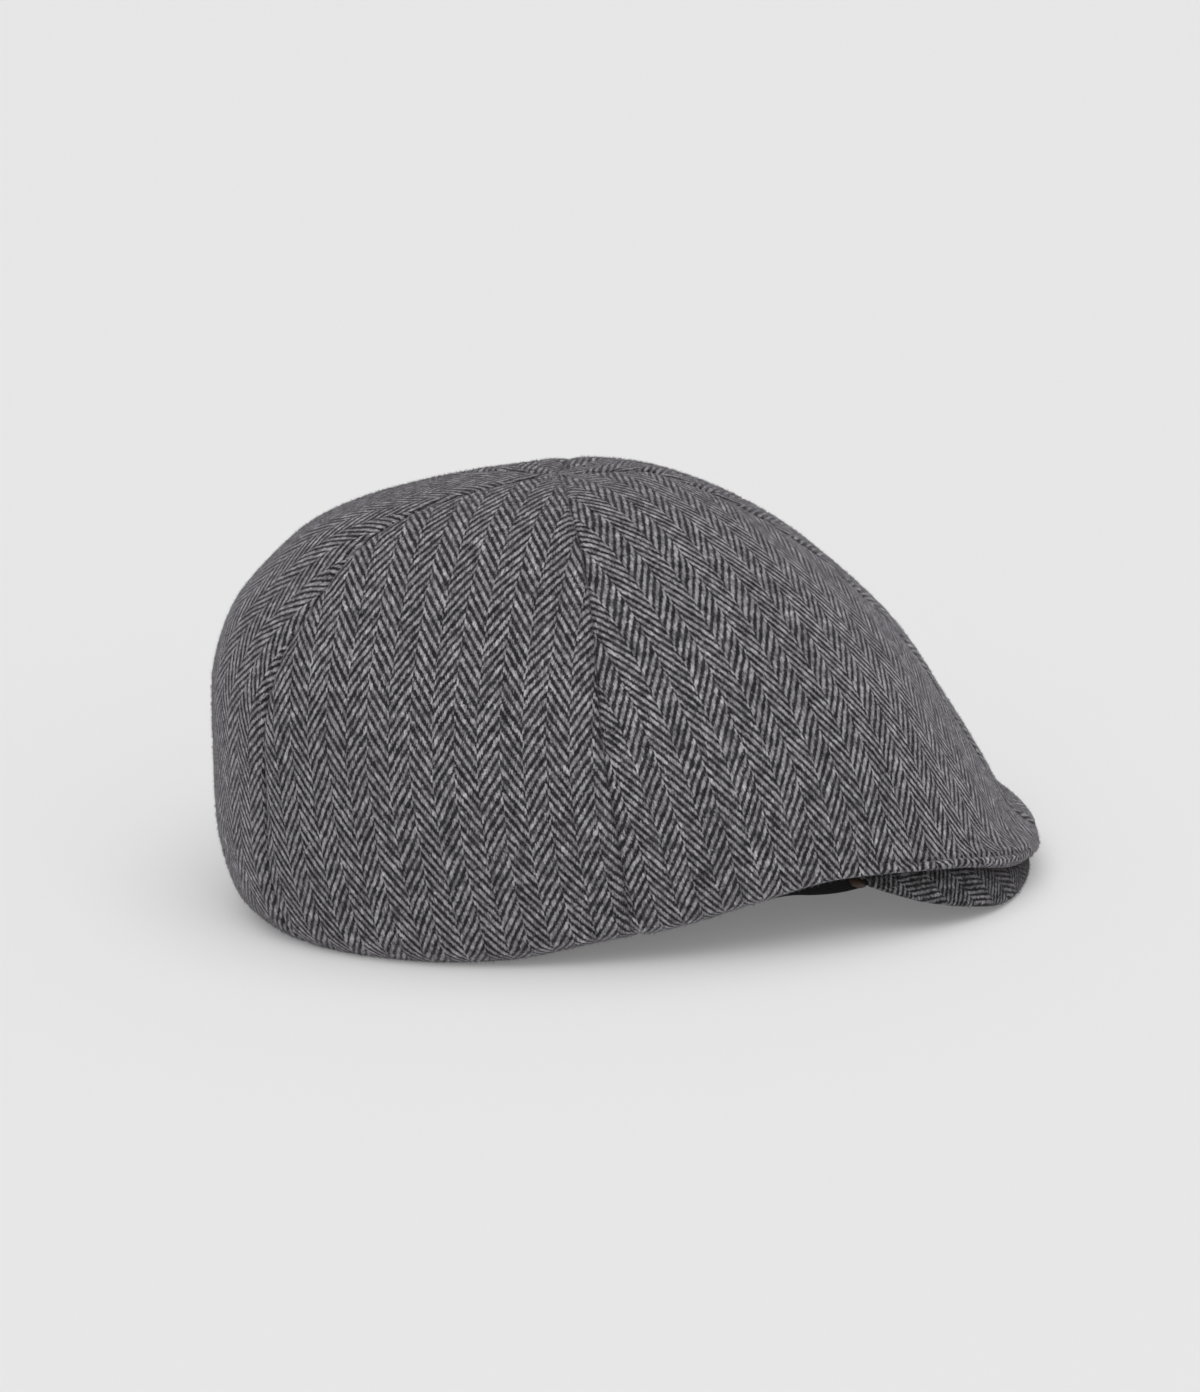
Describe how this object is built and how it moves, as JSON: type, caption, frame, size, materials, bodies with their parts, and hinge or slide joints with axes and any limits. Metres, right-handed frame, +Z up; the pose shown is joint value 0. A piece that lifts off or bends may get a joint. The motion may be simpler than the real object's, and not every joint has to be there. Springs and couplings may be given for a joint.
{
  "type": "flat cap",
  "caption": "Duckbill flat cap of herringbone wool with a panelled crown, a stiff peak under its front, a sweatband and a leather peak binding.",
  "frame": {"origin": "centre of the bounding box's base, on the surface that the cap rests on", "axes": "-Y towards the peak, +Z up, +X to the wearer's left"},
  "size_m": [0.1862, 0.2668, 0.138],
  "materials": {
    "herringbone_wool": "soft wool herringbone, grey and near-black, with short fuzz",
    "peak_wool": "the same herringbone wool over a stiff board",
    "sweatband_cloth": "black woven cotton band, matt",
    "binding_leather": "dark brown leather, slightly worn"
  },
  "bodies": {
    "root": {"panel_front_right": "herringbone_wool", "panel_side_right": "herringbone_wool", "panel_rear": "herringbone_wool", "panel_side_left": "herringbone_wool", "panel_front_left": "herringbone_wool", "peak": "peak_wool", "sweatband": "sweatband_cloth", "peak_binding": "binding_leather"}
  },
  "joints": []
}
